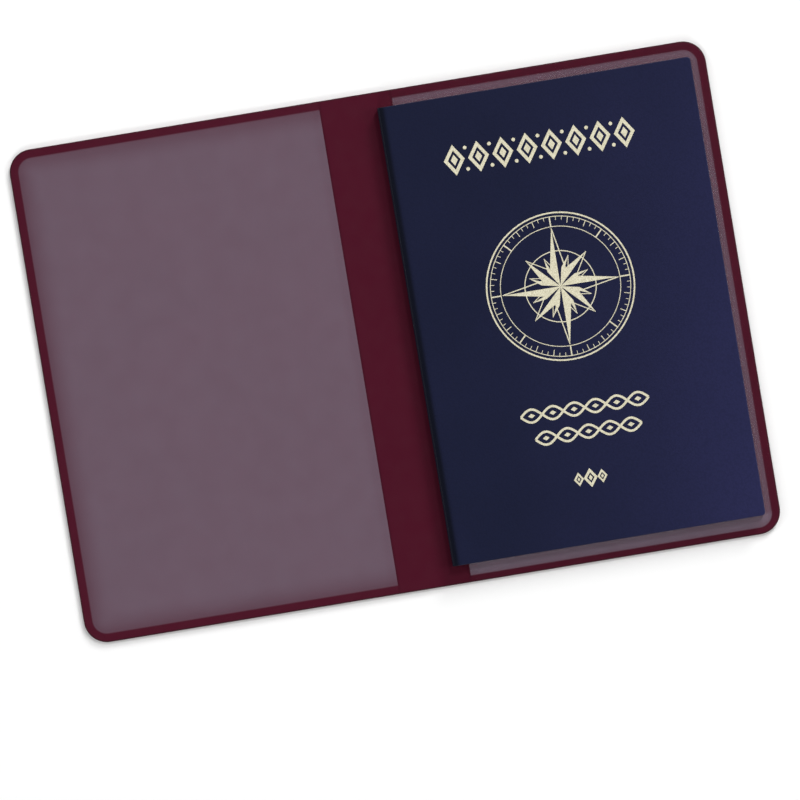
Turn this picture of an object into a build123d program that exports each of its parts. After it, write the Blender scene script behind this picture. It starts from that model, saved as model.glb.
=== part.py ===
from build123d import *
import os

os.makedirs("parts", exist_ok=True)

# A welded vinyl passport cover, lying open with its pockets up and a booklet in the right one.
# +X runs from the fold to the half that holds the booklet, +Y to the head, +Z up.
# The origin is on the underside, in the middle of the fold.

# Driving dimensions, in millimetres
open_width = 190.0
height = 134.5
corner_radius = 6.2
outer_thickness = 0.40
lining_thickness = 0.20

# The fold bends along two lines, one on each side of a narrow spine strip
fold_line_offset = 1.3
hinge_gap = 0.04

# Clear pockets, welded along three sides and open towards the fold
film_thickness = 0.15
weld_width = 2.2
narrower_back_foot_weld = 0.5
pocket_corner_radius = 4.3
mouth_offset = 9.9
slope_width = 1.6
slope_corner_radius = 2.8
empty_pocket_rise = 0.15
mouth_overhang = 2.0

# Booklet, with its back cover inside the pocket
booklet_width = 85.3
booklet_height = 125.0
booklet_left = 5.5
booklet_middle_y = 0.25
booklet_corner_radius = 1.0
cover_thickness = 0.55
cover_edge_radius = 0.45
endpaper_thickness = 0.10
leaf_count = 14
leaf_thickness = 0.10
leaf_pitch = 0.12
play = 0.05
thread_radius = 0.12
stitch_count = 24
stitch_pitch = 5.0
stitch_length = 3.6

# Heights above the underside, from the bottom of the stack to its top
half_width = open_width / 2
half_near = fold_line_offset + hinge_gap / 2
lining_top = outer_thickness + lining_thickness
back_cover_floor = lining_top + play
back_cover_top = back_cover_floor + cover_thickness
back_endpaper_top = back_cover_top + endpaper_thickness
full_pocket_rise = back_endpaper_top + play - lining_top
leaves_floor = lining_top + full_pocket_rise + film_thickness + play
leaves_top = leaves_floor + leaf_count * leaf_pitch
front_cover_floor = leaves_top + endpaper_thickness

# Places along the booklet's width
booklet_right = booklet_left + booklet_width
inside_left = booklet_left + cover_thickness
thread_x = inside_left + thread_radius
leaves_left = inside_left + 2 * thread_radius + play


def half_outline(sketch, side, near, inset, radius, lower_foot=0):
    """One half's outline, from near to the outer edges less inset, with two round corners.
    Its foot may reach lower than its inset says."""
    width = half_width - inset - near
    with Locations((side * (near + width / 2), -lower_foot / 2)):
        Rectangle(width, height - 2 * inset + lower_foot)
    fillet(sketch.vertices().sort_by(Axis.X, reverse=side < 0)[-2:], radius)


def booklet_outline(sketch, left):
    """A leaf's or cover's outline, from left to the fore edge, with two round corners."""
    width = booklet_right - left
    with Locations((left + width / 2, booklet_middle_y)):
        Rectangle(width, booklet_height)
    fillet(sketch.vertices().sort_by(Axis.X)[-2:], booklet_corner_radius)


layers = (
    ("vinyl", 0, outer_thickness),
    ("lining", outer_thickness, lining_thickness),
)

# The two halves of the cover: outer vinyl and lining
for half, side in (("back", 1), ("front", -1)):
    for layer, floor, thickness in layers:
        with BuildPart() as sheet:
            with BuildSketch(Plane.XY.offset(floor)) as outline:
                half_outline(outline, side, half_near, 0, corner_radius)
            extrude(amount=thickness)
        sheet.part.label = f"{half}_{layer}"
        export_step(sheet.part, f"parts/{half}_{layer}.step")

# The spine strip between the halves, in the same two layers
for layer, floor, thickness in layers:
    with BuildPart() as strip:
        with BuildSketch(Plane.XY.offset(floor)):
            Rectangle(2 * fold_line_offset - hinge_gap, height)
        extrude(amount=thickness)
    strip.part.label = f"spine_{layer}"
    export_step(strip.part, f"parts/spine_{layer}.step")

# The two pocket films: a welded flange, a slope inside it and a raised panel
pockets = (
    ("back", 1, full_pocket_rise, narrower_back_foot_weld),
    ("front", -1, empty_pocket_rise, 0),
)
for half, side, rise, lower_foot in pockets:
    near = mouth_offset - mouth_overhang
    panel_inset = weld_width + slope_width
    with BuildPart() as film:
        with BuildSketch(Plane.XY.offset(lining_top)) as flange:
            half_outline(flange, side, near, 0, corner_radius)
        extrude(amount=film_thickness)
        with BuildSketch(Plane.XY.offset(lining_top + film_thickness)) as foot:
            half_outline(foot, side, near, weld_width, pocket_corner_radius, lower_foot)
        with BuildSketch(Plane.XY.offset(lining_top + film_thickness + rise)) as crown:
            half_outline(crown, side, near, panel_inset, slope_corner_radius, lower_foot)
        loft()
        with BuildSketch(Plane.XY.offset(lining_top)) as hollow_foot:
            half_outline(hollow_foot, side, near, weld_width, pocket_corner_radius, lower_foot)
        with BuildSketch(Plane.XY.offset(lining_top + rise)) as hollow_crown:
            half_outline(hollow_crown, side, near, panel_inset, slope_corner_radius, lower_foot)
        loft(mode=Mode.SUBTRACT)
        kept = Keep.TOP if side > 0 else Keep.BOTTOM
        split(bisect_by=Plane.YZ.offset(side * mouth_offset), keep=kept)
    film.part.label = f"{half}_pocket_film"
    export_step(film.part, f"parts/{half}_pocket_film.step")

# The booklet's cover: two boards' worth of cloth and the spine between them
with BuildPart() as booklet_back_cover:
    with BuildSketch(Plane.XY.offset(back_cover_floor)) as outline:
        booklet_outline(outline, booklet_left)
    extrude(amount=cover_thickness)
    bound_edges = booklet_back_cover.edges().filter_by(Axis.Y).group_by(Axis.X)[0]
    fillet(bound_edges.sort_by(Axis.Z)[0], cover_edge_radius)
booklet_back_cover.part.label = "booklet_back_cover"
export_step(booklet_back_cover.part, "parts/booklet_back_cover.step")

with BuildPart() as booklet_front_cover:
    with BuildSketch(Plane.XY.offset(front_cover_floor)) as outline:
        booklet_outline(outline, booklet_left)
    extrude(amount=cover_thickness)
    bound_edges = booklet_front_cover.edges().filter_by(Axis.Y).group_by(Axis.X)[0]
    fillet(bound_edges.sort_by(Axis.Z)[-1], cover_edge_radius)
booklet_front_cover.part.label = "booklet_front_cover"
export_step(booklet_front_cover.part, "parts/booklet_front_cover.step")

with BuildPart() as booklet_spine:
    with BuildSketch(Plane.XY.offset(back_cover_top)):
        with Locations((booklet_left + cover_thickness / 2, booklet_middle_y)):
            Rectangle(cover_thickness, booklet_height)
    extrude(amount=front_cover_floor - back_cover_top)
booklet_spine.part.label = "booklet_spine"
export_step(booklet_spine.part, "parts/booklet_spine.step")

# Endpapers, each glued to the inside of its cover
for cover, floor in (("back", back_cover_top), ("front", leaves_top)):
    with BuildPart() as endpaper:
        with BuildSketch(Plane.XY.offset(floor)) as outline:
            booklet_outline(outline, inside_left)
        extrude(amount=endpaper_thickness)
    endpaper.part.label = f"booklet_{cover}_endpaper"
    export_step(endpaper.part, f"parts/booklet_{cover}_endpaper.step")

# The leaves, one separate solid each
with BuildPart() as booklet_leaves:
    for leaf in range(leaf_count):
        with BuildSketch(Plane.XY.offset(leaves_floor + leaf * leaf_pitch)) as outline:
            booklet_outline(outline, leaves_left)
        extrude(amount=leaf_thickness)
booklet_leaves.part.label = "booklet_leaves"
export_step(booklet_leaves.part, "parts/booklet_leaves.step")

# The sewing: a row of stitches between the leaves and the spine
with BuildPart() as booklet_thread:
    with Locations((thread_x, booklet_middle_y, (leaves_floor + leaves_top) / 2)):
        with GridLocations(stitch_pitch, stitch_pitch, 1, stitch_count):
            Cylinder(thread_radius, stitch_length, rotation=(90, 0, 0))
booklet_thread.part.label = "booklet_thread"
export_step(booklet_thread.part, "parts/booklet_thread.step")
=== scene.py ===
import math
import random

import bmesh
import bpy
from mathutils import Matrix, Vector, noise


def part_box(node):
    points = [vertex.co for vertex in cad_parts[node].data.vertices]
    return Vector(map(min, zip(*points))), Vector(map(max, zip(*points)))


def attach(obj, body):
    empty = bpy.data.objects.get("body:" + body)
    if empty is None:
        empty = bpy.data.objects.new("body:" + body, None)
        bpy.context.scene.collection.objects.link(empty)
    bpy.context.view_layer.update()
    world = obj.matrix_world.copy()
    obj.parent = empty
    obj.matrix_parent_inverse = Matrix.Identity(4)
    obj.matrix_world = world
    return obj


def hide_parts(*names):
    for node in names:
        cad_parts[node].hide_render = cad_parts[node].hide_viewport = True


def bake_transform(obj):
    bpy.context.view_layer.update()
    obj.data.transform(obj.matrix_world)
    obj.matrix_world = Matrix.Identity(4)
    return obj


# A welded vinyl passport holder that lies open with its pockets up and a booklet in the right one.
# It keeps the frame's axes: +X towards the booklet, +Y towards its head, +Z up. Everything is in metres.

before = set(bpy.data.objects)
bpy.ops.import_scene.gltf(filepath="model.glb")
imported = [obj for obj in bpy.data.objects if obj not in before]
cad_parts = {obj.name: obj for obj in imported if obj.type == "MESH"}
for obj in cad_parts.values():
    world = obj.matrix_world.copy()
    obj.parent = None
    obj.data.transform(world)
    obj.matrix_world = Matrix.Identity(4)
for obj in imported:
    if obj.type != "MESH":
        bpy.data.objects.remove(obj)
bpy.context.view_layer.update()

MM = 0.001

# Sizes and places from the frame
OUTER_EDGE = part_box("back_vinyl")[1].x
HALF_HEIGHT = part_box("back_vinyl")[1].y
VINYL_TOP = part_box("back_vinyl")[1].z
LINING_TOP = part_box("back_lining")[1].z
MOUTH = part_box("back_pocket_film")[0].x
FULL_FILM_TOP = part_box("back_pocket_film")[1].z
EMPTY_FILM_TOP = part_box("front_pocket_film")[1].z
BOOK_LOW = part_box("booklet_back_cover")[0]
BOOK_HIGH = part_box("booklet_front_cover")[1]
LEAVES_LOW, LEAVES_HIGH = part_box("booklet_leaves")
COVER_THICKNESS = BOOK_HIGH.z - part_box("booklet_front_cover")[0].z

# Details of the welded edge and of the leaves
CORNER_RADIUS = 6.2 * MM
CORNER_STEPS = 14
WELD = 2.2 * MM
NARROWER_FOOT = 0.5 * MM
SLOPE = 1.6 * MM
FILM_THICKNESS = 0.15 * MM
FILM_SETBACK = 0.35 * MM
LEAF_COUNT = 14
LEAF_THICKNESS = 0.10 * MM


# ---------------------------------------------------------------- meshes

SHARP_ANGLE = math.radians(35)


class Plan:
    """A flat mesh of shared points and quads that shells are built on."""

    def __init__(self):
        self.points = []
        self.faces = []
        self.known = {}

    def point(self, x, y):
        key = (round(x * 1e8), round(y * 1e8))
        if key not in self.known:
            self.known[key] = len(self.points)
            self.points.append((x, y))
        return self.known[key]

    def face(self, corners):
        ids = list(dict.fromkeys(self.point(x, y) for x, y in corners))
        if len(ids) > 2:
            self.faces.append(ids)

    def grid(self, xs, ys):
        for x0, x1 in zip(xs, xs[1:]):
            for y0, y1 in zip(ys, ys[1:]):
                self.face([(x0, y0), (x1, y0), (x1, y1), (x0, y1)])

    def half(self, side, xs, ys, radius, rings, arc_steps):
        """Half of a rounded rectangle: a grid inside, and rings that follow its edge round two corners.
        xs run from the open side to the corner's centre, ys between the corners' centres."""
        self.grid([side * x for x in xs], ys)
        path = [((x, ys[0]), (0, -1)) for x in xs]
        for i in range(1, arc_steps):
            a = math.radians(90 * i / arc_steps)
            path.append(((xs[-1], ys[0]), (math.sin(a), -math.cos(a))))
        path += [((xs[-1], y), (1, 0)) for y in ys]
        for i in range(1, arc_steps):
            a = math.radians(90 * i / arc_steps)
            path.append(((xs[-1], ys[-1]), (math.cos(a), math.sin(a))))
        path += [((x, ys[-1]), (0, 1)) for x in reversed(xs)]

        def place(step, ring):
            (x, y), (nx, ny) = path[step]
            reach = radius - ring
            return side * (x + nx * reach), y + ny * reach

        for i in range(len(path) - 1):
            for outer, inner in zip(rings, rings[1:]):
                self.face([place(i, outer), place(i + 1, outer), place(i + 1, inner), place(i, inner)])


def stations(*stops):
    """Numbers from the first stop to the last, evenly spaced between stops by the step given after each."""
    found = [stops[0]]
    for step, stop in zip(stops[1::2], stops[2::2]):
        start = found[-1]
        count = max(1, round(abs(stop - start) / step))
        found += [start + (stop - start) * (i + 1) / count for i in range(count)]
    return found


def mirrored(values):
    """The same stations on both sides of zero, from the lowest to the highest."""
    return [-v for v in reversed(values) if v > 0] + list(values)


def edge_distance(x, y, far=OUTER_EDGE, half_height=HALF_HEIGHT, radius=CORNER_RADIUS):
    """How far a point is from the holder's outer edge, round the corners too."""
    dx = far - abs(x)
    dy = half_height - abs(y)
    if dx < radius and dy < radius:
        return radius - math.hypot(radius - dx, radius - dy)
    return min(dx, dy)


def weld_distance(x, y):
    """How far inside the weld's inner edge a point is; the back pocket's weld is narrower at its foot."""
    lower_foot = NARROWER_FOOT if x > 0 and y < 0 else 0.0
    return edge_distance(x, y, half_height=HALF_HEIGHT + lower_foot) - WELD


def smoothstep(low, high, value):
    t = min(1.0, max(0.0, (value - low) / (high - low)))
    return t * t * (3 - 2 * t)


def store_rest(mesh):
    """Keeps each vertex's rest place, which the patterns read, so that they move with the piece."""
    rest = mesh.attributes.new("rest", "FLOAT_VECTOR", "POINT")
    for i, vertex in enumerate(mesh.vertices):
        rest.data[i].vector = vertex.co


def finish_mesh(name, bm):
    """Makes an object with its normals outward and smooth shading between sharp edges."""
    bmesh.ops.recalc_face_normals(bm, faces=bm.faces)
    for face in bm.faces:
        face.smooth = True
    for edge in bm.edges:
        edge.smooth = len(edge.link_faces) == 2 and edge.calc_face_angle() < SHARP_ANGLE
    mesh = bpy.data.meshes.new(name)
    bm.to_mesh(mesh)
    bm.free()
    store_rest(mesh)
    obj = bpy.data.objects.new(name, mesh)
    bpy.context.scene.collection.objects.link(obj)
    return obj


def shell(name, plan, low, high, place=lambda x, y, z: (x, y, z)):
    """A closed mesh between two height functions over a plan, with walls along the plan's edges."""
    bm = bmesh.new()
    lows = [bm.verts.new(place(x, y, low(x, y))) for x, y in plan.points]
    highs = [bm.verts.new(place(x, y, high(x, y))) for x, y in plan.points]
    uses = {}
    for ids in plan.faces:
        bm.faces.new([highs[i] for i in ids])
        bm.faces.new([lows[i] for i in reversed(ids)])
        for a, b in zip(ids, ids[1:] + ids[:1]):
            uses.setdefault(frozenset((a, b)), []).append((a, b))
    for used in uses.values():
        if len(used) == 1:
            a, b = used[0]
            bm.faces.new([highs[b], highs[a], lows[a], lows[b]])
    return finish_mesh(name, bm)


def float_attribute(obj, name, value):
    """Stores value(x, y, z) at every vertex."""
    data = obj.data.attributes.new(name, "FLOAT", "POINT").data
    for i, vertex in enumerate(obj.data.vertices):
        data[i].value = value(*vertex.co)


# ---------------------------------------------------------------- materials

def linear(r, g, b):
    """A colour given as it looks, 0 to 255, as the linear values that shaders take."""
    def one(c):
        c /= 255
        return c / 12.92 if c <= 0.04045 else ((c + 0.055) / 1.055) ** 2.4
    return one(r), one(g), one(b), 1.0


def shade(colour, amount):
    """The same colour, darker or lighter."""
    return tuple(c * amount for c in colour[:3]) + (1.0,)


class Look:
    """A material with a Principled shader, and short ways to add the nodes that drive it."""

    def __init__(self, name, roughness, specular=0.5):
        self.material = bpy.data.materials.new(name)
        self.material.use_nodes = True
        self.nodes = self.material.node_tree.nodes
        self.links = self.material.node_tree.links
        self.shader = self.nodes["Principled BSDF"]
        self.output = self.nodes["Material Output"]
        self.shader.inputs["Roughness"].default_value = roughness
        self.shader.inputs["Specular IOR Level"].default_value = specular
        self.place = self.nodes.new("ShaderNodeAttribute")
        self.place.attribute_name = "rest"

    def link(self, a, b):
        self.links.new(a, b)

    def attribute(self, name):
        """A number stored on the mesh's vertices."""
        node = self.nodes.new("ShaderNodeAttribute")
        node.attribute_name = name
        return node.outputs["Fac"]

    def noise(self, size, detail=3, roughness=0.5, stretch=None):
        """Noise whose features are about size metres across."""
        vector = self.place.outputs["Vector"]
        if stretch:
            scaled = self.nodes.new("ShaderNodeVectorMath")
            scaled.operation = "MULTIPLY"
            scaled.inputs[1].default_value = stretch
            self.link(vector, scaled.inputs[0])
            vector = scaled.outputs[0]
        node = self.nodes.new("ShaderNodeTexNoise")
        node.inputs["Scale"].default_value = 1 / size
        node.inputs["Detail"].default_value = detail
        node.inputs["Roughness"].default_value = roughness
        self.link(vector, node.inputs["Vector"])
        return node.outputs["Fac"]

    def place_along(self, axis, low, high):
        """0 where the rest place is at low on that axis, 1 at high."""
        node = self.nodes.new("ShaderNodeSeparateXYZ")
        self.link(self.place.outputs["Vector"], node.inputs[0])
        return self.spread(node.outputs[axis], 0, 1, low, high)

    def cells(self, size):
        """Distance from the middle of pebbles about size metres across."""
        node = self.nodes.new("ShaderNodeTexVoronoi")
        node.inputs["Scale"].default_value = 1 / size
        self.link(self.place.outputs["Vector"], node.inputs["Vector"])
        return node.outputs["Distance"]

    def spread(self, value, low, high, from_low=0.3, from_high=0.7):
        """value, from its usual span, as a number between low and high."""
        node = self.nodes.new("ShaderNodeMapRange")
        node.inputs["From Min"].default_value = from_low
        node.inputs["From Max"].default_value = from_high
        node.inputs["To Min"].default_value = low
        node.inputs["To Max"].default_value = high
        self.link(value, node.inputs["Value"])
        return node.outputs["Result"]

    def math(self, operation, a, b):
        node = self.nodes.new("ShaderNodeMath")
        node.operation = operation
        for socket, value in zip(node.inputs, (a, b)):
            if isinstance(value, (int, float)):
                socket.default_value = value
            else:
                self.link(value, socket)
        return node.outputs[0]

    def mix(self, factor, a, b):
        """A colour between a and b."""
        node = self.nodes.new("ShaderNodeMix")
        node.data_type = "RGBA"
        self.link(factor, node.inputs["Factor"])
        for name, value in (("A", a), ("B", b)):
            socket = next(s for s in node.inputs if s.name == name and s.type == "RGBA")
            if isinstance(value, tuple):
                socket.default_value = value
            else:
                self.link(value, socket)
        return next(s for s in node.outputs if s.type == "RGBA")

    def colour(self, value):
        self.link(value, self.shader.inputs["Base Color"])

    def roughness(self, value):
        self.link(value, self.shader.inputs["Roughness"])

    def bump(self, height, depth, strength, under=None):
        """Relief of depth metres; under is the normal of a coarser relief below it."""
        node = self.nodes.new("ShaderNodeBump")
        node.inputs["Strength"].default_value = strength
        node.inputs["Distance"].default_value = depth
        self.link(height, node.inputs["Height"])
        if under:
            self.link(under, node.inputs["Normal"])
        return node.outputs["Normal"]

    def normal(self, value):
        self.link(value, self.shader.inputs["Normal"])


CUT_DULLNESS = 0.4
CREASE_DULLNESS = 0.1
FILM_MIRROR = 0.25


def vinyl_look(name, colour, drifting, painted_light, roughness, specular):
    """Smooth calendered vinyl: a faint fine grain, a slow unevenness in colour and in gloss, a second colour
    that is painted light, painted highlights or painted shade, where the piece's stored mask says so, and a
    dull cut edge."""
    look = Look(name, roughness, specular)
    drift = look.noise(25 * MM, 2)
    fine = look.noise(0.35 * MM, 3, 0.6)
    tone = look.spread(drift, 0, 1)
    base = look.mix(tone, shade(colour, 1 - drifting), shade(colour, 1 + drifting))
    grain = look.mix(look.spread(fine, 0.0, 0.06), base, shade(colour, 0.7))
    # The stored mask blends in painted light: painted highlights on the outer sheet, painted shade on the
    # lining.
    look.colour(look.mix(look.attribute("painted_light"), grain, painted_light))
    uneven = look.spread(look.noise(4 * MM, 3), roughness - 0.03, roughness + 0.04)
    dullness = look.math("MULTIPLY", look.attribute("cut"), CUT_DULLNESS)
    look.roughness(look.math("ADD", uneven, dullness))
    wave = look.bump(look.noise(9 * MM, 2), 0.02 * MM, 0.1)
    look.normal(look.bump(fine, 0.004 * MM, 0.3, under=wave))
    return look.material


def film_look():
    """Clear vinyl film: what lies under it shows through a milky haze that thins out towards the welds."""
    look = Look("clear_film", 0.3)
    look.nodes.remove(look.shader)
    clear = look.nodes.new("ShaderNodeBsdfTransparent")
    milk = look.nodes.new("ShaderNodeBsdfDiffuse")
    milk.inputs["Color"].default_value = (0.61, 0.58, 0.74, 1)
    gloss = look.nodes.new("ShaderNodeBsdfGlossy")
    gloss.inputs["Roughness"].default_value = 0.25
    cloud = look.spread(look.noise(6 * MM, 3), 0.96, 1.04)
    amount = look.math("MULTIPLY", look.attribute("haze"), cloud)
    body = look.nodes.new("ShaderNodeMixShader")
    look.link(amount, body.inputs[0])
    look.link(clear.outputs[0], body.inputs[1])
    look.link(milk.outputs[0], body.inputs[2])
    facing = look.nodes.new("ShaderNodeLayerWeight")
    facing.inputs["Blend"].default_value = 0.5
    grazing = look.math("POWER", facing.outputs["Facing"], 5)
    mirror = look.math("MULTIPLY", grazing, FILM_MIRROR)
    ripple = look.bump(look.noise(7 * MM, 2), 0.08 * MM, 0.3)
    look.link(ripple, gloss.inputs["Normal"])
    whole = look.nodes.new("ShaderNodeMixShader")
    look.link(mirror, whole.inputs[0])
    look.link(body.outputs[0], whole.inputs[1])
    look.link(gloss.outputs[0], whole.inputs[2])
    look.link(whole.outputs[0], look.output.inputs["Surface"])
    return look.material


def cloth_look():
    """Coated bookcloth with a fine pebbled leather grain, painted lighter and bluer towards the fore edge and
    the foot as painted light, and darkened with painted shade in the crease beside the spine."""
    look = Look("booklet_cloth", 0.38, 0.15)
    pebble = look.cells(0.55 * MM)
    fine = look.noise(0.25 * MM, 3, 0.6)
    across = look.place_along("X", BOOK_LOW.x, BOOK_HIGH.x)
    down = look.place_along("Y", BOOK_HIGH.y, BOOK_LOW.y)
    # Painted light: lighter and bluer towards the fore edge and the foot, with a slow random unevenness on
    # top.
    painted_light_ramp = look.math("MULTIPLY", look.math("POWER", across, 2),
                       look.math("ADD", look.math("MULTIPLY", down, 0.55), 0.45))
    painted_light_and_tone = look.math("ADD", painted_light_ramp, look.spread(look.noise(30 * MM, 2), -0.08, 0.08))
    base = look.mix(painted_light_and_tone, linear(24, 28, 52), linear(40, 41, 77))
    grooves = look.mix(look.spread(pebble, 0.0, 0.18, 0.35, 0.75), base, linear(20, 22, 40))
    # Painted shade darkens the cover in the crease beside the spine.
    look.colour(look.mix(look.attribute("crease"), grooves, linear(3, 6, 22)))
    dullness = look.math("MULTIPLY", look.attribute("crease"), CREASE_DULLNESS)
    look.roughness(look.math("ADD", look.spread(fine, 0.34, 0.44), dullness))
    height = look.math("SUBTRACT", look.math("MULTIPLY", fine, 0.35), pebble)
    look.normal(look.bump(height, 0.025 * MM, 0.5))
    return look.material


def paper_look():
    look = Look("paper", 0.85, 0.2)
    fibre = look.noise(0.4 * MM, 4, 0.7)
    look.colour(look.mix(look.spread(fibre, 0, 1), linear(222, 216, 200), linear(240, 236, 224)))
    look.normal(look.bump(fibre, 0.01 * MM, 0.4))
    return look.material


def thread_look():
    look = Look("thread", 0.7, 0.3)
    twist = look.noise(0.15 * MM, 2, stretch=(3, 1, 3))
    look.colour(look.mix(look.spread(twist, 0, 1), linear(205, 200, 188), linear(236, 232, 222)))
    look.normal(look.bump(twist, 0.02 * MM, 0.6))
    return look.material


def foil_look():
    """Cream stamped foil, broken up finely by the grain under it."""
    look = Look("foil", 0.4, 0.5)
    grain = look.cells(0.28 * MM)
    fine = look.noise(0.2 * MM, 3, 0.6)
    base = look.mix(look.spread(fine, 0, 1, 0.35, 0.65), linear(205, 198, 166), linear(240, 236, 212))
    look.colour(look.mix(look.spread(grain, 0.0, 0.4, 0.45, 0.8), base, linear(150, 142, 120)))
    look.normal(look.bump(grain, 0.02 * MM, 0.5))
    return look.material


OUTER_COLOUR = linear(78, 13, 20)
LINING_COLOUR = linear(73, 17, 35)
# The outer vinyl's pink second colour is a painted highlight; the lining's second colour, a darker copy of
# its own, is painted shade.
outer_vinyl = vinyl_look("outer_vinyl", OUTER_COLOUR, 0.015, linear(138, 76, 81), 0.26, 0.7)
lining_vinyl = vinyl_look("lining_vinyl", LINING_COLOUR, 0.03, shade(LINING_COLOUR, 0.45), 0.34, 0.2)
clear_film = film_look()
booklet_cloth = cloth_look()
paper = paper_look()
thread = thread_look()
foil = foil_look()


def dress(obj, material, body=None, nodes=()):
    """Gives a piece its material, the body it rides on and the CAD nodes it stands for."""
    obj.data.materials.clear()
    obj.data.materials.append(material)
    if body:
        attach(obj, body)
    if nodes:
        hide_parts(*nodes)


# ---------------------------------------------------------------- the cover's two layers

BEAD_WIDTH = 0.55 * MM
EDGE_RISE = 0.24 * MM
GROOVE_DEPTH = 0.22 * MM
GROOVE_OUTER_WALL = (0.70 * MM, 1.18 * MM)
GROOVE_INNER_WALL = (1.36 * MM, 1.90 * MM)
OUTER_CREST = 0.78 * MM
INNER_CREST = 1.82 * MM
LINING_EDGE_WIDTH = 0.45 * MM
LINING_EDGE_DROP = 0.16 * MM

# The two sheets lie face to face, a hair apart so that their faces don't coincide
OUTER_INSIDE = VINYL_TOP - 0.004 * MM
LINING_UNDERSIDE = VINYL_TOP + 0.002 * MM


def round_over(d, width, drop):
    """How much a surface falls off near its edge, as a quarter of an ellipse."""
    if d >= width:
        return 0.0
    return drop * (1 - math.sqrt(max(0.0, 1 - (1 - d / width) ** 2)))


def soft_ramp(low, high, value):
    """0 before low and 1 after high, straight in between with rounded ends."""
    t = min(1.0, max(0.0, (value - low) / (high - low)))
    return 0.5 * t + 0.5 * t * t * (3 - 2 * t)


def outer_face(x, y):
    """The outer face: a bead along the edge, the weld's groove, then the flat panel."""
    d = edge_distance(x, y)
    groove = soft_ramp(*GROOVE_OUTER_WALL, d) - soft_ramp(*GROOVE_INNER_WALL, d)
    return GROOVE_DEPTH * groove + round_over(d, BEAD_WIDTH, EDGE_RISE)


def lining_face(x, y):
    d = edge_distance(x, y)
    return LINING_TOP - round_over(d, LINING_EDGE_WIDTH, LINING_EDGE_DROP)


EDGE_RINGS = [v * MM for v in (0, .03, .08, .15, .24, .34, .44, .55, .66, .74, .82, .9, .98, 1.06, 1.14, 1.22,
                               1.34, 1.42, 1.5, 1.58, 1.66, 1.74, 1.82, 1.9, 2.0, 2.3, 3.0, 4.2, 6.2)]


def bump_at(middle, reach, value):
    """1 at the middle, falling smoothly to 0 at that reach from it."""
    off = abs(value - middle) / reach
    return (1 + math.cos(math.pi * off)) / 2 if off < 1 else 0.0


def painted_highlight_mark(x, y, z):
    """How much painted highlight lightens the outer vinyl: a band along both sides of the fold, where the
    curved face would catch the light, and lines over the crests on both sides of the weld's groove."""
    across = abs(x)
    near = 0.55 + 0.45 * smoothstep(0, 1.6 * MM, across)
    fold = 0.34 * near * (1 - smoothstep(1.2 * MM, 7.6 * MM, across)) ** 1.4
    d = edge_distance(x, y)
    crests = 0.6 * bump_at(OUTER_CREST, 0.38 * MM, d) + 0.8 * bump_at(INNER_CREST, 0.40 * MM, d)
    return max(fold, crests) if z < VINYL_TOP / 2 + GROOVE_DEPTH else fold


def painted_shade_mark(x, y, z):
    """How much painted shade darkens the lining: along its cut edge, where the rounded edge turns from the
    light, and in a painted shadow line beside each pocket's mouth.
    """
    edge = 0.8 * (1 - smoothstep(0.10 * MM, 0.5 * MM, edge_distance(x, y)))
    beside_mouth = MOUTH - abs(x)
    painted_light_ramp = 1 - smoothstep(0.25 * MM, 0.75 * MM, beside_mouth)
    # This line is a painted shadow of the film's mouth edge.
    line = 0.35 * smoothstep(-0.1 * MM, 0.0, beside_mouth) * painted_light_ramp
    return max(edge, line)


def cut_mark(x, y, z):
    """1 on the sheets' cut edge, 0 on their faces."""
    return 1 - smoothstep(0.10 * MM, 0.35 * MM, edge_distance(x, y))


def cover_plan(side):
    plan = Plan()
    corner_x = OUTER_EDGE - CORNER_RADIUS
    corner_y = HALF_HEIGHT - CORNER_RADIUS
    xs = stations(0, 0.13 * MM, 3.2 * MM, 0.5 * MM, MOUTH - 0.9 * MM, 0.15 * MM, MOUTH + 0.3 * MM,
                  4.4 * MM, corner_x)
    ys = stations(-corner_y, 4.4 * MM, corner_y)
    plan.half(side, xs, ys, CORNER_RADIUS, EDGE_RINGS, CORNER_STEPS)
    return plan


for half, side in (("back", 1), ("front", -1)):
    plan = cover_plan(side)
    outer = shell(f"outer_{half}", plan, outer_face, lambda x, y: OUTER_INSIDE)
    lining = shell(f"lining_{half}", plan, lambda x, y: LINING_UNDERSIDE, lining_face)
    # These marks are painted light: painted highlights on the outer sheet, painted shade on the lining.
    float_attribute(outer, "painted_light", painted_highlight_mark)
    float_attribute(lining, "painted_light", painted_shade_mark)
    for piece in (outer, lining):
        float_attribute(piece, "cut", cut_mark)
    for layer, piece, material in (("vinyl", outer, outer_vinyl), ("lining", lining, lining_vinyl)):
        nodes = [f"{half}_{layer}"] + ([f"spine_{layer}"] if side > 0 else [])
        slot = "outer_vinyl" if layer == "vinyl" else "lining_vinyl"
        dress(piece, material, nodes=nodes)
        if side > 0:
            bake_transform(piece)
        else:
            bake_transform(piece)


# ---------------------------------------------------------------- the pocket films

FILM_FAR = OUTER_EDGE - FILM_SETBACK
FILM_RADIUS = CORNER_RADIUS - FILM_SETBACK
FILM_RINGS = [v * MM for v in (0, .05, .12, .25, .6, 1.1, 1.3, 1.45, 1.6, 1.8, 1.95, 2.15, 2.35, 2.6, 2.85,
                               3.1, 3.3, 3.5, 3.8, 4.3, 5.0)] + [FILM_RADIUS]
FILM_GAP = 0.01 * MM
FILM_EDGE_WIDTH = 0.25 * MM
FILM_EDGE_DROP = 0.12 * MM
WAVES_ACROSS = 60
WAVES_ALONG = 45
MIDDLE_HAZE = 0.080
WELD_HAZE = 0.036
FLANGE_HAZE = 0.001
# Extra haze at the booklet's foot: painted light over the booklet's shadow.
FOOT_PAINTED_LIGHT = 0.85


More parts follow.
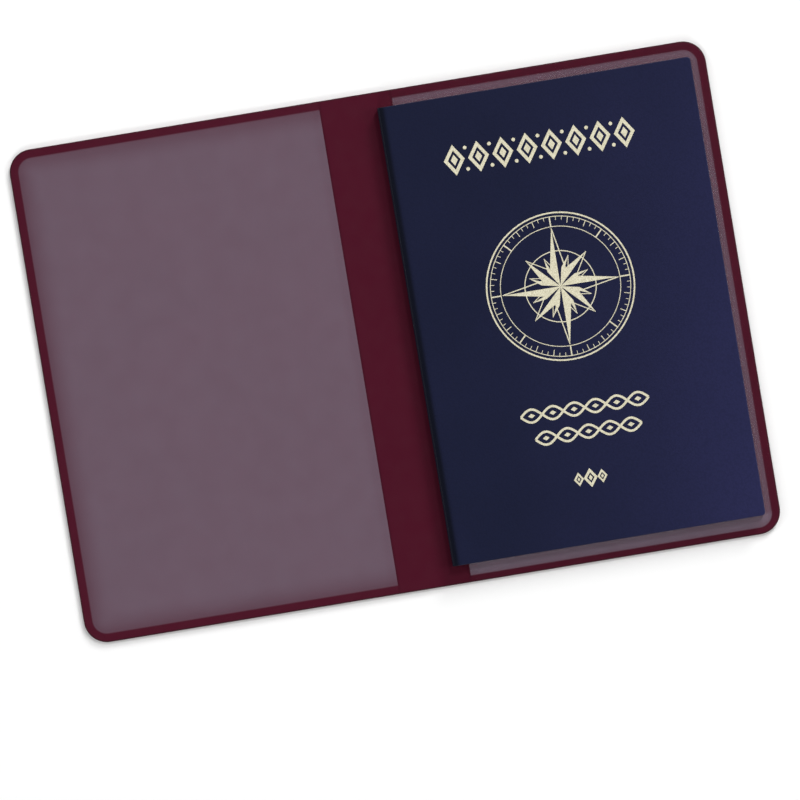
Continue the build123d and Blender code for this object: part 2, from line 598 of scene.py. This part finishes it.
def film_haze(x, y, z):
    """Share of light that one face of the film scatters: less beside the weld and beside the mouth, and more
    at the booklet's foot, which is painted light that brightens the strip where the booklet's shadow falls."""
    d = weld_distance(x, y)
    inside = smoothstep(-0.05 * MM, 0.30 * MM, d)
    rise = smoothstep(-2.5 * MM, 6.5 * MM, d)
    by_mouth = 1 - 0.09 * (1 - smoothstep(1.7 * MM, 2.4 * MM, abs(x) - MOUTH))
    # The extra haze at the booklet's foot is painted light: it brightens the strip where the booklet's shadow
    # falls.
    stretch = 1.0
    if x > 0:
        stretch += FOOT_PAINTED_LIGHT * (1 - smoothstep(BOOK_LOW.y - 0.4 * MM, BOOK_LOW.y + 1.0 * MM, y))
    middle = (WELD_HAZE + (MIDDLE_HAZE - WELD_HAZE) * rise) * by_mouth * stretch
    return FLANGE_HAZE + inside * (middle - FLANGE_HAZE)


films = (
    ("back", 1, FULL_FILM_TOP, 0.03 * MM),
    ("front", -1, EMPTY_FILM_TOP, 0.06 * MM),
)
for half, side, top, waviness in films:
    rise = top - FILM_THICKNESS - LINING_TOP

    def under(x, y):
        lift = smoothstep(0, SLOPE, weld_distance(x, y))
        wave = noise.noise(Vector((x * WAVES_ACROSS, y * WAVES_ALONG, side * 3.7))) * waviness
        return LINING_TOP + FILM_GAP + lift * (rise - waviness / 2 + wave)

    def over(x, y):
        drop = round_over(edge_distance(x, y) - FILM_SETBACK, FILM_EDGE_WIDTH, FILM_EDGE_DROP)
        return under(x, y) + FILM_THICKNESS - FILM_GAP - drop

    plan = Plan()
    corner_x = FILM_FAR - FILM_RADIUS
    corner_y = HALF_HEIGHT - FILM_SETBACK - FILM_RADIUS
    xs = stations(MOUTH, 0.5 * MM, MOUTH + 2.5 * MM, 2.5 * MM, corner_x - 4 * MM, 1.0 * MM, corner_x)
    ys = mirrored(stations(0, 2.5 * MM, corner_y - 4 * MM, 1.0 * MM, corner_y))
    plan.half(side, xs, ys, FILM_RADIUS, FILM_RINGS, CORNER_STEPS)
    film = shell(f"{half}_film", plan, under, over)
    float_attribute(film, "haze", film_haze)
    dress(film, clear_film, f"{half}_half", [f"{half}_pocket_film"])


# ---------------------------------------------------------------- the booklet

BOOK_MIDDLE_Y = (BOOK_LOW.y + BOOK_HIGH.y) / 2
BOOK_HALF_HEIGHT = (BOOK_HIGH.y - BOOK_LOW.y) / 2
BOOK_MIDDLE_Z = (BOOK_LOW.z + BOOK_HIGH.z) / 2
BOOK_CORNER = 1.0 * MM
SPINE_RADIUS = 0.8 * MM
COVER_TOP = BOOK_HIGH.z - 0.03 * MM
COVER_EDGE_WIDTH = 0.16 * MM
COVER_EDGE_DROP = 0.13 * MM
CREASE_DEPTH = 0.03 * MM
CREASE_REACH = 0.7 * MM
LEAF_SETBACK = 0.1 * MM
LEAF_SPINE_GAP = 0.15 * MM

# Lengths along the folded cover from the middle of its spine
SPINE_STRAIGHT = COVER_TOP - BOOK_MIDDLE_Z - SPINE_RADIUS
SPINE_LENGTH = SPINE_STRAIGHT + SPINE_RADIUS * math.pi / 2
COVER_REACH = SPINE_LENGTH + BOOK_HIGH.x - BOOK_LOW.x - SPINE_RADIUS


def wrap(s, y, depth):
    """A place on the cover: s along it from the middle of its spine, depth in from its outer face."""
    along = abs(s)
    if along < SPINE_STRAIGHT:
        x, z, nx, nz = 0.0, along, 1.0, 0.0
    elif along < SPINE_LENGTH:
        a = (along - SPINE_STRAIGHT) / SPINE_RADIUS
        x = SPINE_RADIUS * (1 - math.cos(a))
        z = SPINE_STRAIGHT + SPINE_RADIUS * math.sin(a)
        nx, nz = math.cos(a), -math.sin(a)
    else:
        x, z, nx, nz = SPINE_RADIUS + along - SPINE_LENGTH, SPINE_STRAIGHT + SPINE_RADIUS, 0.0, -1.0
    up = 1 if s >= 0 else -1
    return BOOK_LOW.x + x + nx * depth, BOOK_MIDDLE_Y + y, BOOK_MIDDLE_Z + up * (z + nz * depth)


def cover_edge(s, y):
    d = edge_distance(s, y, COVER_REACH, BOOK_HALF_HEIGHT, BOOK_CORNER)
    return round_over(d, COVER_EDGE_WIDTH, COVER_EDGE_DROP)


def cover_face(s, y):
    """The outer face, with the crease pressed in beside the spine."""
    return cover_edge(s, y) + CREASE_DEPTH * bump_at(SPINE_LENGTH, CREASE_REACH, abs(s))


def crease_painted_shade(x, y, z):
    """How much painted shade darkens the cover beside its spine."""
    across = x - BOOK_LOW.x
    tone = 0.7 + 0.3 * smoothstep(0, 0.5 * MM, across)
    return tone * (1 - smoothstep(1.1 * MM, 2.5 * MM, across))


plan = Plan()
corner_s = COVER_REACH - BOOK_CORNER
corner_y = BOOK_HALF_HEIGHT - BOOK_CORNER
rings = [v * MM for v in (0, .02, .05, .09, .16, .4, 1.0)]
ys = stations(-corner_y, 4 * MM, corner_y)
xs = stations(0, 0.16 * MM, SPINE_LENGTH + 1.4 * MM, 0.6 * MM, SPINE_LENGTH + 4 * MM, 4 * MM, corner_s)
for side in (1, -1):
    plan.half(side, xs, ys, BOOK_CORNER, rings, 6)
cover = shell("booklet_cover", plan, cover_face, lambda s, y: COVER_THICKNESS - cover_edge(s, y), wrap)
# The crease attribute holds painted shade beside the spine; the cloth is also duller there.
float_attribute(cover, "crease", crease_painted_shade)
dress(cover, booklet_cloth, "back_half",
      ["booklet_back_cover", "booklet_spine", "booklet_front_cover"])


def leaf_outline(left, right, low, high, radius, steps=5):
    """A leaf's outline, square at the spine and round at the fore edge."""
    points = [(left, high), (left, low)]
    for cx, cy, first in ((right - radius, low + radius, -90), (right - radius, high - radius, 0)):
        for i in range(steps + 1):
            a = math.radians(first + 90 * i / steps)
            points.append((cx + radius * math.cos(a), cy + radius * math.sin(a)))
    return points


# Each leaf is cut and sewn a little differently
chance = random.Random(4)
bm = bmesh.new()
leaf_pitch = (LEAVES_HIGH.z - LEAVES_LOW.z - LEAF_THICKNESS) / (LEAF_COUNT - 1)
for leaf in range(LEAF_COUNT):
    shift = chance.uniform(-0.05, 0.0) * MM
    slip = chance.uniform(-0.06, 0.06) * MM
    outline = leaf_outline(LEAVES_LOW.x + LEAF_SPINE_GAP, LEAVES_HIGH.x + shift - LEAF_SETBACK,
                           LEAVES_LOW.y + LEAF_SETBACK + slip, LEAVES_HIGH.y - LEAF_SETBACK + slip,
                           BOOK_CORNER)
    z = LEAVES_LOW.z + leaf * leaf_pitch
    lows = [bm.verts.new((x, y, z)) for x, y in outline]
    highs = [bm.verts.new((x, y, z + LEAF_THICKNESS)) for x, y in outline]
    bm.faces.new(highs)
    bm.faces.new(lows[::-1])
    for i in range(len(outline)):
        j = (i + 1) % len(outline)
        bm.faces.new([lows[i], lows[j], highs[j], highs[i]])
leaves = finish_mesh("leaves", bm)
dress(leaves, paper, "back_half", ["booklet_leaves"])

# These nodes keep the frame's shape and take a look
kept_nodes = (
    ("booklet_back_endpaper", paper, "paper"),
    ("booklet_front_endpaper", paper, "paper"),
    ("booklet_thread", thread, "thread"),
)
for name, material, slot in kept_nodes:
    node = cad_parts[name]
    store_rest(node.data)
    dress(node, material)


# ---------------------------------------------------------------- the foil ornaments

FOIL_THICKNESS = 0.012 * MM
FOIL_STEP = 0.003 * MM
FOIL_SINK = 0.005 * MM


def circle(radius, x, y, steps):
    """Points evenly round a circle."""
    turns = [2 * math.pi * i / steps for i in range(steps)]
    return [(x + radius * math.cos(a), y + radius * math.sin(a)) for a in turns]


class Foil:
    """Flat shapes in one mesh on the cover, given in millimetres from the mesh's own middle.
    Each layer lies one step above the last, so that no two faces coincide."""

    def __init__(self, name, x, y):
        self.name = name
        self.x = x
        self.y = y
        self.layer = 0
        self.bm = bmesh.new()

    def place(self, x, y):
        height = COVER_TOP + FOIL_THICKNESS + self.layer * FOIL_STEP
        return self.bm.verts.new((self.x + x * MM, self.y + y * MM, height))

    def plate(self, points):
        self.bm.faces.new([self.place(x, y) for x, y in points])

    def ribbon(self, inner, outer, closed=False):
        """A band between two lines with the same number of points."""
        pairs = [(self.place(*a), self.place(*b)) for a, b in zip(inner, outer)]
        if closed:
            pairs.append(pairs[0])
        for (a, b), (c, d) in zip(pairs, pairs[1:]):
            self.bm.faces.new([a, b, d, c])

    def stroke(self, points, width, closed=False):
        """A line of that width through the points."""
        inner, outer = [], []
        count = len(points)
        for i, (x, y) in enumerate(points):
            before = points[i - 1] if i or closed else points[0]
            after = points[(i + 1) % count] if i < count - 1 or closed else points[-1]
            dx, dy = after[0] - before[0], after[1] - before[1]
            size = math.hypot(dx, dy)
            nx, ny = -dy / size * width / 2, dx / size * width / 2
            inner.append((x - nx, y - ny))
            outer.append((x + nx, y + ny))
        self.ribbon(inner, outer, closed)

    def ring(self, radius, width):
        self.stroke(circle(radius, 0, 0, 72), width, closed=True)

    def disc(self, radius, x, y):
        self.plate(circle(radius, x, y, 20))

    def lozenge(self, x, y, half_width, half_height):
        self.plate([(x - half_width, y), (x, y - half_height), (x + half_width, y), (x, y + half_height)])

    def lozenge_ring(self, x, y, half_width, half_height, share):
        corners = [(-1, 0), (0, -1), (1, 0), (0, 1)]
        outer = [(x + a * half_width, y + b * half_height) for a, b in corners]
        inner = [(x + a * half_width * share, y + b * half_height * share) for a, b in corners]
        self.ribbon(inner, outer, closed=True)

    def done(self):
        bmesh.ops.recalc_face_normals(self.bm, faces=self.bm.faces)
        for face in self.bm.faces:
            if face.normal.z < 0:
                face.normal_flip()
        obj = finish_mesh(self.name, self.bm)
        solid = obj.modifiers.new("thickness", "SOLIDIFY")
        solid.thickness = FOIL_THICKNESS + FOIL_SINK
        solid.offset = -1
        dress(obj, foil, "back_half")


ART_X = BOOK_LOW.x + 41.4 * MM
TITLE_Y = HALF_HEIGHT - 21.7 * MM
EMBLEM_Y = HALF_HEIGHT - 59.8 * MM
BANDS_Y = HALF_HEIGHT - 96.2 * MM
MARK_Y = HALF_HEIGHT - 111.9 * MM

# A row of lozenges across the head of the cover
title = Foil("foil_title_row", ART_X, TITLE_Y)
motifs = 8
motif_pitch = 6.62
for i in range(motifs):
    x = (i - (motifs - 1) / 2) * motif_pitch
    title.lozenge_ring(x, 0, 2.85, 4.2, 0.62)
    title.lozenge(x, 0, 0.95, 1.5)
    if i < motifs - 1:
        for side in (1, -1):
            title.disc(0.5, x + motif_pitch / 2, side * 2.9)
title.done()

# A compass rose in the middle
rose = Foil("foil_compass_rose", ART_X - 0.5 * MM, EMBLEM_Y)
rose.ring(19.9, 0.42)
rose.ring(18.9, 0.2)
rose.ring(16.2, 0.2)
mark_outer = 18.8
for i in range(72):
    a = math.radians(i * 5)
    mark_inner, width = (16.3, 0.36) if i % 9 == 0 else (17.2, 0.2) if i % 3 == 0 else (17.9, 0.16)
    rose.stroke([(r * math.sin(a), r * math.cos(a)) for r in (mark_inner, mark_outer)], width)


def spike(art, degrees, length, waist, waist_radius, line):
    """One ray of the star: its left half is filled and its right half is an outline."""
    a = math.radians(degrees)

    def turn(x, y):
        return x * math.cos(a) + y * math.sin(a), -x * math.sin(a) + y * math.cos(a)

    art.plate([turn(0, 0), turn(0, length), turn(-waist, waist_radius)])
    art.stroke([turn(0, length), turn(waist, waist_radius), turn(0, 0)], line)


for i in range(8):
    rose.layer = i % 2
    spike(rose, 22.5 + i * 45, 8.6, 0.95, 5.0, 0.22)
rose.layer = 2
for i in range(4):
    spike(rose, 45 + i * 90, 11.6, 1.9, 4.4, 0.26)
rose.layer = 3
for i in range(4):
    spike(rose, i * 90, 15.8, 2.3, 3.6, 0.3)
rose.layer = 4
rose.ring(9.6, 0.26)
rose.done()

# Two woven bands below it
wave_height = 1.75
for name, y, waves, width in (("foil_upper_band", 3.2, 6, 34.8), ("foil_lower_band", -3.3, 5, 28.9)):
    band = Foil(name, ART_X + 0.6 * MM, BANDS_Y + y * MM)
    steps = waves * 16
    for turn in (1, -1):
        band.layer = (turn + 1) // 2
        points = []
        for i in range(steps + 1):
            along = i / steps
            points.append(((along - 0.5) * width, turn * wave_height * math.sin(along * waves * math.pi)))
        band.stroke(points, 0.62)
    for i in range(waves):
        band.lozenge((i + 0.5 - waves / 2) * width / waves, 0, 0.95, 0.62)
    band.done()

# A small mark at the foot
mark = Foil("foil_foot_mark", ART_X - 0.9 * MM, MARK_Y)
for x, size in ((-3.2, 0.72), (0, 1.0), (3.2, 0.72)):
    mark.lozenge_ring(x, 0, 1.9 * size, 2.6 * size, 0.55)
    mark.lozenge(x, 0, 0.55 * size, 0.8 * size)
mark.done()


# ---------------------------------------------------------------- floor, light and camera

FLOOR_REACH = 6.0
FLOOR_DROP = 0.4 * MM
FLOOR_COLOUR = (0.97, 0.97, 0.97, 1)


def floor_look():
    """Plain white, hardly uneven."""
    look = Look("floor_white", 0.9, 0.1)
    drift = look.spread(look.noise(0.4, 2), 0, 1)
    look.colour(look.mix(drift, FLOOR_COLOUR, shade(FLOOR_COLOUR, 0.995)))
    return look.material


# The floor lies a little lower than the holder, which softens the shadow at its edges
floor_corners = [(x * FLOOR_REACH, y * FLOOR_REACH, 0) for x, y in ((-1, -1), (1, -1), (1, 1), (-1, 1))]
floor_mesh = bpy.data.meshes.new("floor")
floor_mesh.from_pydata(floor_corners, [], [(0, 1, 2, 3)])
floor = bpy.data.objects.new("floor", floor_mesh)
floor.location.z = -FLOOR_DROP
bpy.context.scene.collection.objects.link(floor)
floor.data.materials.append(floor_look())

# The sky is bright round the horizon and dark overhead, so that glossy faces keep their depth from above
world = bpy.data.worlds.new("world")
bpy.context.scene.world = world
world.use_nodes = True
sky = world.node_tree
direction = sky.nodes.new("ShaderNodeTexCoord")
split = sky.nodes.new("ShaderNodeSeparateXYZ")
ramp = sky.nodes.new("ShaderNodeMapRange")
ramp.interpolation_type = "SMOOTHSTEP"
ramp.inputs["From Min"].default_value = 0.45
ramp.inputs["From Max"].default_value = 0.92
ramp.inputs["To Min"].default_value = 0.48
ramp.inputs["To Max"].default_value = 0.03
sky.links.new(direction.outputs["Generated"], split.inputs[0])
sky.links.new(split.outputs["Z"], ramp.inputs["Value"])
sky.links.new(ramp.outputs["Result"], sky.nodes["Background"].inputs["Strength"])
sky.nodes["Background"].inputs["Color"].default_value = (1, 1, 1, 1)

FLOOR_LIGHT = math.pi * 1.14
LAMP_DISTANCE = 4.0
TILT = math.radians(-9.4)


def lamp(name, azimuth, elevation, size, share):
    """A round lamp aimed at the object that gives a share of the floor's light; its azimuth is counted from
    the picture's right, counter-clockwise."""
    a = math.radians(azimuth) + TILT
    e = math.radians(elevation)
    data = bpy.data.lights.new(name, "AREA")
    data.shape = "DISK"
    data.size = size
    data.energy = share * FLOOR_LIGHT * math.pi * LAMP_DISTANCE ** 2 / math.sin(e)
    obj = bpy.data.objects.new(name, data)
    towards_lamp = Vector((math.cos(a) * math.cos(e), math.sin(a) * math.cos(e), math.sin(e)))
    obj.location = towards_lamp * LAMP_DISTANCE
    obj.rotation_mode = "QUATERNION"
    obj.rotation_quaternion = (-obj.location).to_track_quat("-Z", "Y")
    bpy.context.scene.collection.objects.link(obj)


lamp("key", 67, 50, 1.0, 0.19)
lamp("low_key", 67, 24, 1.2, 0.22)
lamp("left_fill", 172, 34, 1.4, 0.10)
lamp("right_fill", 8, 34, 1.4, 0.10)
lamp("foot_fill", 268, 34, 1.4, 0.13)

camera_data = bpy.data.cameras.new("camera")
camera = bpy.data.objects.new("camera", camera_data)
bpy.context.scene.collection.objects.link(camera)
bpy.context.scene.camera = camera
VIEW_WIDTH = 215.6 * MM
CAMERA_HEIGHT = 2.0
SENSOR_WIDTH = 36
camera_data.sensor_width = SENSOR_WIDTH
camera_data.lens = SENSOR_WIDTH * CAMERA_HEIGHT / VIEW_WIDTH
camera_data.clip_start = 0.1
camera_data.clip_end = 50
camera.location = (-1.21 * MM, -15.7 * MM, CAMERA_HEIGHT)
camera.rotation_euler = (0, 0, TILT)

bpy.context.scene.view_settings.view_transform = "Standard"
